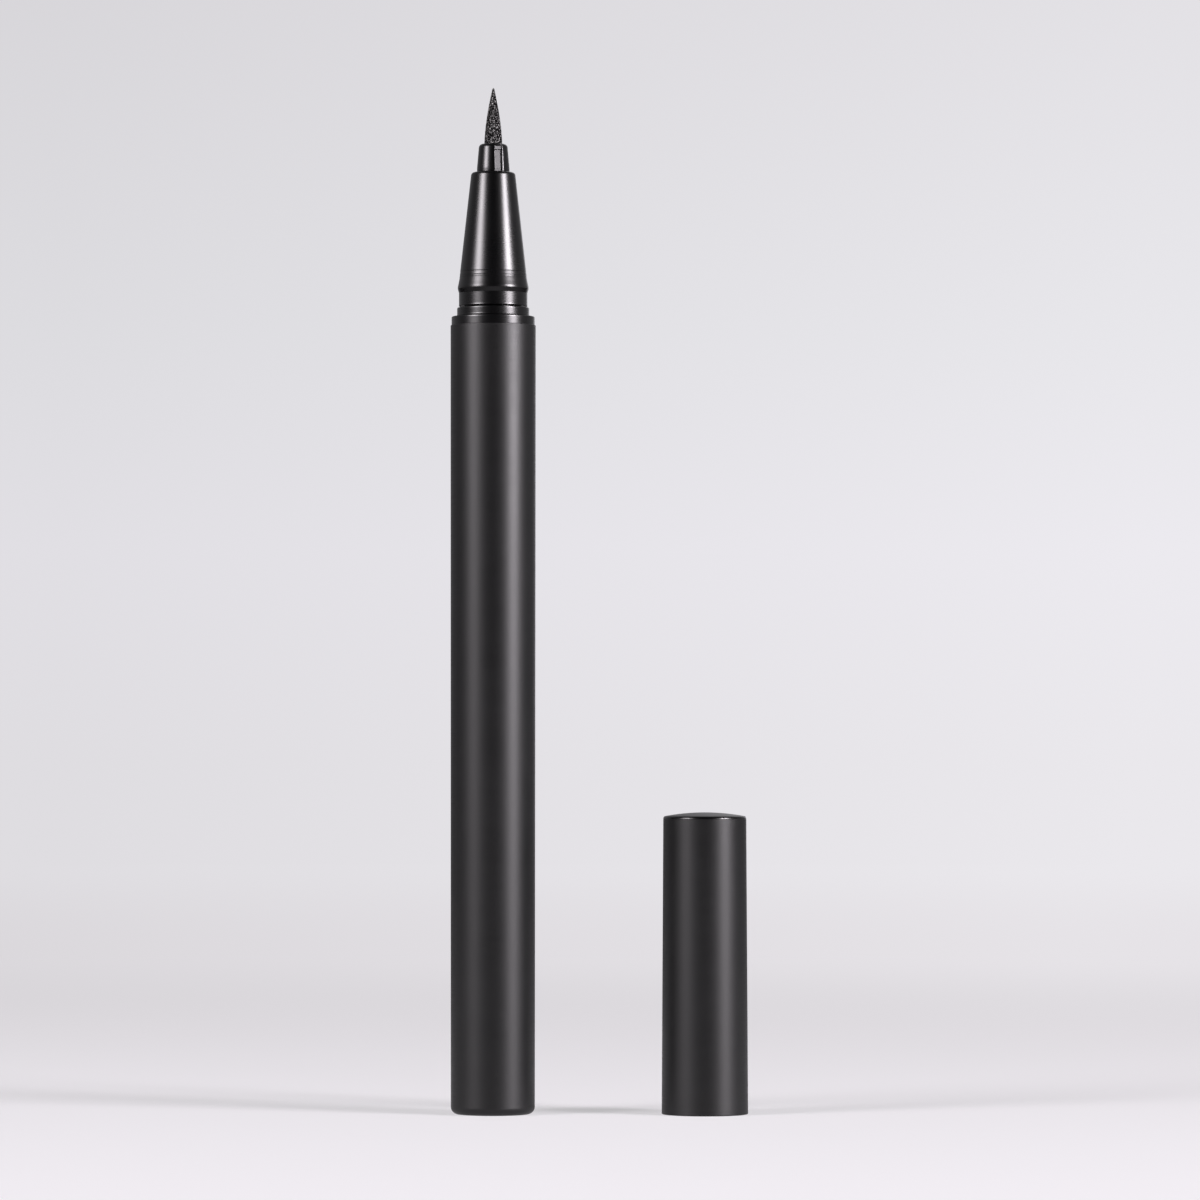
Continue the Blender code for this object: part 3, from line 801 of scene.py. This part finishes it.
def make_floor():
    """A pale sheet round the object. Near it, the sheet takes its shadows and has a glow that the camera and
    the gloss see. Further off, the camera sees the backdrop's colours there, and all else a dark floor."""
    radius, drop = 1.8, 0.03 * MM
    near_span, tone_span = (0.12, 0.6), (0.6, 1.7)
    mirrored_span, mirrored_levels = (0.14, 0.28), (0.6, 0.0)
    least_distance = 0.6
    mesh = bpy.data.meshes.new("floor")
    work = bmesh.new()
    bmesh.ops.create_circle(work, cap_ends=True, segments=128, radius=radius)
    work.to_mesh(mesh)
    work.free()
    floor = bpy.data.objects.new("floor", mesh)
    floor.location.z = -drop
    bpy.context.scene.collection.objects.link(floor)
    look = bpy.data.materials.new("floor_paper")
    look.use_nodes = True
    look.node_tree.nodes.clear()
    mesh.materials.append(look)
    tree = Tree(look.node_tree)
    place = tree.add("ShaderNodeTexCoord").outputs["Object"]
    length = tree.add("ShaderNodeVectorMath", operation="LENGTH")
    tree.link(place, length.inputs[0])
    away = length.outputs["Value"]
    parts = tree.axes(place)
    path = tree.add("ShaderNodeLightPath").outputs
    seen = path["Is Camera Ray"]

    mirrored = tree.times(path["Is Glossy Ray"], tree.fade(away, mirrored_span, mirrored_levels))
    glow = tree.add("ShaderNodeEmission")
    glow.inputs["Color"].default_value = (0.492, 0.482, 0.496, 1)
    tree.link(tree.maths("MAXIMUM", seen, mirrored), glow.inputs["Strength"])
    near = tree.both(tree.diffuse((0.435, 0.431, 0.44)), glow.outputs["Emission"])

    ahead = tree.maths("MAXIMUM", tree.maths("ADD", parts["Y"], -CAMERA_PLACE[1]), least_distance)
    sideways = tree.maths("DIVIDE", parts["X"], ahead)
    tone = tree.add("ShaderNodeMix", data_type="RGBA")
    tree.link(tree.fade(away, tone_span), tone.inputs["Factor"])
    tone.inputs["A"].default_value = (*colour_of(225, 222, 226), 1)
    tone.inputs["B"].default_value = (*colour_of(229, 227, 231), 1)
    backdrop = tree.add("ShaderNodeEmission")
    tree.link(tone.outputs["Result"], backdrop.inputs["Color"])
    tree.link(tree.spread(sideways, SIDE_SPAN, SIDE_LEVELS), backdrop.inputs["Strength"])
    far = tree.blend(seen, tree.diffuse((0.03, 0.03, 0.03)), backdrop.outputs["Emission"])

    output = tree.add("ShaderNodeOutputMaterial")
    tree.link(tree.blend(tree.fade(away, near_span), near, far), output.inputs["Surface"])


def make_world():
    """The pale backdrop that the camera sees, dimmer walls and a sheet behind the object for the gloss, and a
    dark room for everything else."""
    rise_span = (0.0, 0.14)
    walls_span, walls_levels = (-0.6, 0.6), (0.0, 0.4)
    sheet_left, sheet_right, sheet_front = (-0.2, 0.15), (0.5, 0.35), (0.5, 0.8)
    sheet_levels = (0.0, 1.5)
    world = bpy.data.worlds.new("studio")
    bpy.context.scene.world = world
    world.use_nodes = True
    world.node_tree.nodes.clear()
    tree = Tree(world.node_tree)
    parts = tree.axes(tree.add("ShaderNodeTexCoord").outputs["Generated"])
    path = tree.add("ShaderNodeLightPath").outputs

    tone = tree.colours(
        tree.spread(parts["Z"], rise_span),
        (0.0, colour_of(229, 227, 231)),
        (0.25, colour_of(231, 229, 234)),
        (0.5, colour_of(227, 226, 230)),
        (1.0, colour_of(221, 219, 223)),
    )
    across = tree.spread(parts["X"], SIDE_SPAN, SIDE_LEVELS)
    walls = tree.fade(parts["Y"], walls_span, walls_levels)
    sheet = tree.times(tree.fade(parts["X"], sheet_left, sheet_levels), tree.fade(parts["X"], sheet_right))
    sheet = tree.times(tree.fade(parts["Y"], sheet_front), sheet)
    mirrored = tree.times(path["Is Glossy Ray"], tree.maths("MAXIMUM", walls, sheet))
    seen = tree.maths("MAXIMUM", path["Is Camera Ray"], mirrored)
    pale = tree.add("ShaderNodeBackground")
    tree.link(tone, pale.inputs["Color"])
    tree.link(tree.times(across, seen), pale.inputs["Strength"])

    room = tree.add("ShaderNodeBackground")
    room.inputs["Color"].default_value = (0.02, 0.02, 0.023, 1)
    unseen = tree.add("ShaderNodeMixShader")
    tree.link(path["Is Camera Ray"], unseen.inputs["Fac"])
    tree.link(room.outputs["Background"], unseen.inputs[1])

    output = tree.add("ShaderNodeOutputWorld")
    tree.link(tree.both(unseen.outputs["Shader"], pale.outputs["Background"]), output.inputs["Surface"])


def make_camera():
    data = bpy.data.cameras.new("camera")
    data.sensor_width = 36
    data.lens = 180.4
    data.clip_start, data.clip_end = 0.01, 20
    camera = bpy.data.objects.new("camera", data)
    camera.location = CAMERA_PLACE
    camera.rotation_euler = (math.radians(90 + CAMERA_TILT), 0, 0)
    bpy.context.scene.collection.objects.link(camera)
    bpy.context.scene.camera = camera


make_floor()
make_world()
make_camera()
bpy.context.scene.view_settings.view_transform = "Standard"
